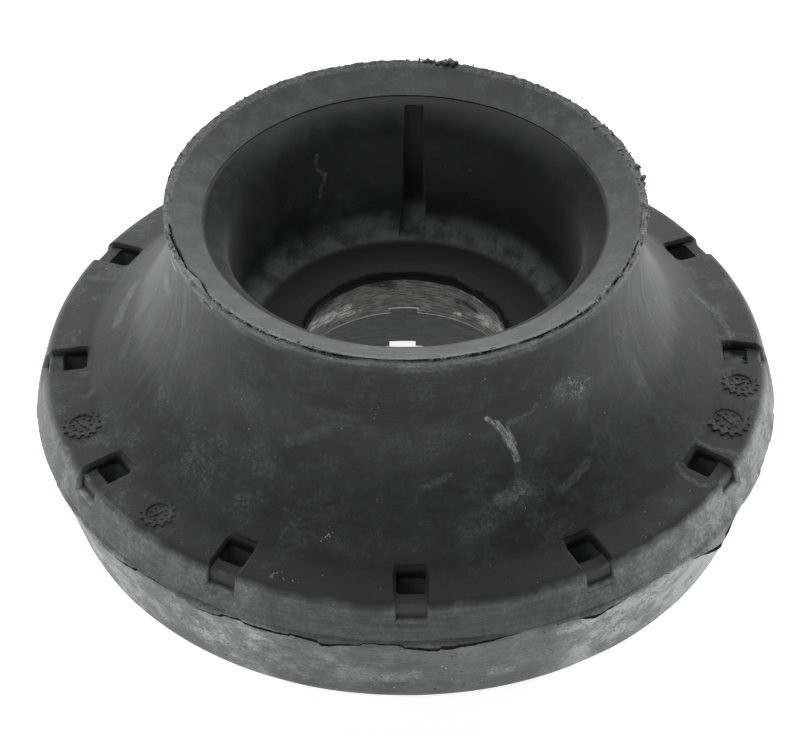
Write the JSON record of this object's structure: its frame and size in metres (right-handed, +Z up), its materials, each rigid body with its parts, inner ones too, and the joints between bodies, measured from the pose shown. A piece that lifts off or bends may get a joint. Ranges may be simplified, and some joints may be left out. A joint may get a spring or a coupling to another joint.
{
  "type": "strut top mount",
  "caption": "Round rubber strut top mount: flared body with a bowl above a slotted flange, moulded round a pressed-steel bearing cup with an open bore.",
  "frame": {"origin": "centre of the flat base, on the mount's axis", "axes": "+Z up along the mount's axis, out of the bowl; -Y is the front of the picture; +X to its right"},
  "size_m": [0.118, 0.118, 0.055],
  "materials": {
    "rubber": "matte black moulded rubber with dust, scuffs and moulding flash",
    "steel": "dull pressed steel with remnants of rubber film"
  },
  "bodies": {
    "root": {"rubber_body": "rubber", "bearing_cup": "steel"}
  },
  "joints": []
}
